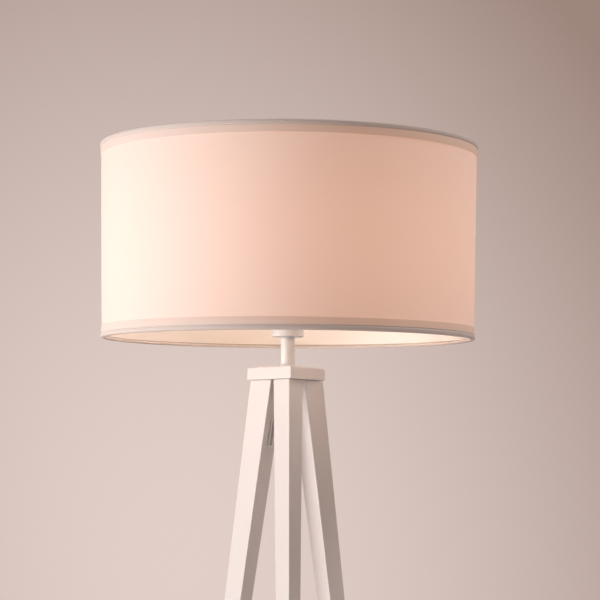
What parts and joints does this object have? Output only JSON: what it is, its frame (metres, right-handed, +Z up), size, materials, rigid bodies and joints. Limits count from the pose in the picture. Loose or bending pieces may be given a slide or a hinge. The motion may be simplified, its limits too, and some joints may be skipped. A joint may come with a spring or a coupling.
{
  "type": "tripod floor lamp",
  "caption": "Floor lamp with tapered three-sided wooden legs under a triangular head block, a short stem, a screw-base lampholder with bulb, and a wide fabric drum shade.",
  "frame": {"origin": "on the floor, on the lamp's vertical axis", "axes": "+Z up along the stem; the front leg points along -Y; +X to the viewer's right"},
  "size_m": [0.5, 0.5, 1.5303],
  "materials": {
    "painted_wood": "white satin paint on fine-grained wood",
    "painted_steel": "white satin powder coat",
    "holder_plastic": "white moulded, semi-gloss",
    "foot_rubber": "matt grey",
    "zinc_steel": "bright zinc plate",
    "contact_brass": "plain brass",
    "dowel_beech": "bare beech",
    "insulator_ceramic": "unglazed white",
    "bulb_metal": "bright",
    "bulb_black_glass": "black insulating glass",
    "bulb_opal": "opal diffuser, lit warm white",
    "led_board": "white circuit board",
    "grommet_plastic": "off-white moulded",
    "shade_fabric": "fine plain-weave cotton, warm off-white",
    "shade_liner": "translucent cream lampshade sheet",
    "shade_tape": "folded cotton tape",
    "white_wire": "white coated steel wire"
  },
  "bodies": {
    "stand": {"bolt_washer_front": "zinc_steel", "bolt_washer_left": "zinc_steel", "bolt_washer_right": "zinc_steel", "cable_grommet": "grommet_plastic", "centre_contact": "contact_brass", "cup_lock_nut": "zinc_steel", "foot_pad_front": "foot_rubber", "foot_pad_left": "foot_rubber", "foot_pad_right": "foot_rubber", "head_block": "painted_wood", "head_cover_plate": "painted_steel", "lampholder_cup": "holder_plastic", "lampholder_insulator": "insulator_ceramic", "lampholder_sleeve": "holder_plastic", "leg_bolt_front": "zinc_steel", "leg_bolt_left": "zinc_steel", "leg_bolt_right": "zinc_steel", "leg_dowel_front": "dowel_beech", "leg_dowel_left": "dowel_beech", "leg_dowel_right": "dowel_beech", "leg_front": "painted_wood", "leg_insert_front": "contact_brass", "leg_insert_left": "contact_brass", "leg_insert_right": "contact_brass", "leg_left": "painted_wood", "leg_right": "painted_wood", "screw_shell": "contact_brass", "stem_collar": "painted_steel", "stem_spacer": "painted_steel", "stem_tube": "painted_steel", "terminal_live": "contact_brass", "terminal_neutral": "contact_brass", "threaded_tube": "zinc_steel", "tube_nut": "zinc_steel", "tube_washer": "zinc_steel"},
    "shade": {"shade_fabric": "shade_fabric", "shade_liner": "shade_liner", "shade_spider": "white_wire", "shade_tape_bottom": "shade_tape", "shade_tape_top": "shade_tape", "shade_top_hoop": "white_wire"},
    "retaining_ring": {"shade_retaining_ring": "holder_plastic"},
    "bulb": {"bulb_body": "holder_plastic", "bulb_cap": "bulb_metal", "bulb_globe": "bulb_opal", "bulb_led_board": "led_board", "bulb_tip": "bulb_black_glass"}
  },
  "joints": [
    {"name": "shade_turn", "type": "hinge", "parent": "stand", "child": "shade", "pos_m": [0, 0, 1.289], "axis": [0, 0, 1], "continuous": true},
    {"name": "ring_turn", "type": "hinge", "parent": "stand", "child": "retaining_ring", "pos_m": [0, 0, 1.2938], "axis": [0, 0, 1], "range_deg": [0, 90]},
    {"name": "bulb_unscrew", "type": "slide", "parent": "stand", "child": "bulb", "axis": [0, 0, 1], "range_m": [0, 0.02]}
  ]
}
